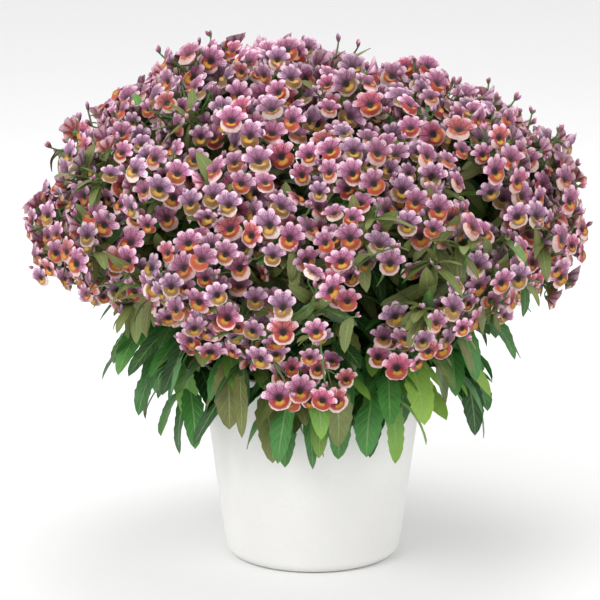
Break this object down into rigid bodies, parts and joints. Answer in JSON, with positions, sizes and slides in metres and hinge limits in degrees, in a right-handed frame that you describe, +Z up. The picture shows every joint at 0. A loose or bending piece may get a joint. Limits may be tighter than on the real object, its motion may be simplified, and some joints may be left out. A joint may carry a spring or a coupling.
{
  "type": "potted nemesia",
  "caption": "Nemesia in a plain tapered pot: a wide mound of small two-lipped blooms on leafy stems, with toothed leaves hanging over the rim.",
  "frame": {"origin": "middle of the pot's flat base, on the surface it stands on", "axes": "+Z up along the pot's axis, -Y towards the side the plant is shown from, +X to the right of that view"},
  "size_m": [0.4152, 0.4234, 0.3949],
  "materials": {
    "pot": "matte",
    "soil": "matte",
    "stem": "satin",
    "leaf": "satin",
    "bloom": "matte"
  },
  "bodies": {
    "root": {"pot": "pot", "soil": "soil", "stem_1": "stem", "stem_2": "stem", "stem_3": "stem", "stem_4": "stem", "stem_5": "stem", "stem_6": "stem", "stem_7": "stem", "stem_8": "stem", "stem_9": "stem", "stem_10": "stem", "stem_11": "stem", "stem_12": "stem", "stem_13": "stem", "stem_14": "stem", "stem_15": "stem", "stem_16": "stem", "stem_17": "stem", "stem_18": "stem", "stem_19": "stem", "stem_20": "stem", "stem_21": "stem", "spray_1": "bloom", "spray_2": "bloom", "spray_3": "bloom", "spray_4": "bloom", "spray_5": "bloom", "spray_6": "bloom", "spray_7": "bloom", "spray_8": "bloom", "spray_9": "bloom", "spray_10": "bloom", "spray_11": "bloom", "spray_12": "bloom", "spray_13": "bloom", "spray_14": "bloom", "spray_15": "bloom", "spray_16": "bloom", "spray_17": "bloom", "spray_18": "bloom", "spray_19": "bloom", "spray_20": "bloom", "spray_21": "bloom", "leafy_shoot_1": "leaf", "leafy_shoot_2": "leaf", "leafy_shoot_3": "leaf", "leafy_shoot_4": "leaf", "leafy_shoot_5": "leaf", "leafy_shoot_6": "leaf", "leafy_shoot_7": "leaf", "leafy_shoot_8": "leaf", "leafy_shoot_9": "leaf", "leafy_shoot_10": "leaf", "leafy_shoot_11": "leaf", "leafy_shoot_12": "leaf", "leafy_shoot_13": "leaf", "leafy_shoot_14": "leaf", "leafy_shoot_15": "leaf", "leafy_shoot_16": "leaf"}
  },
  "joints": []
}
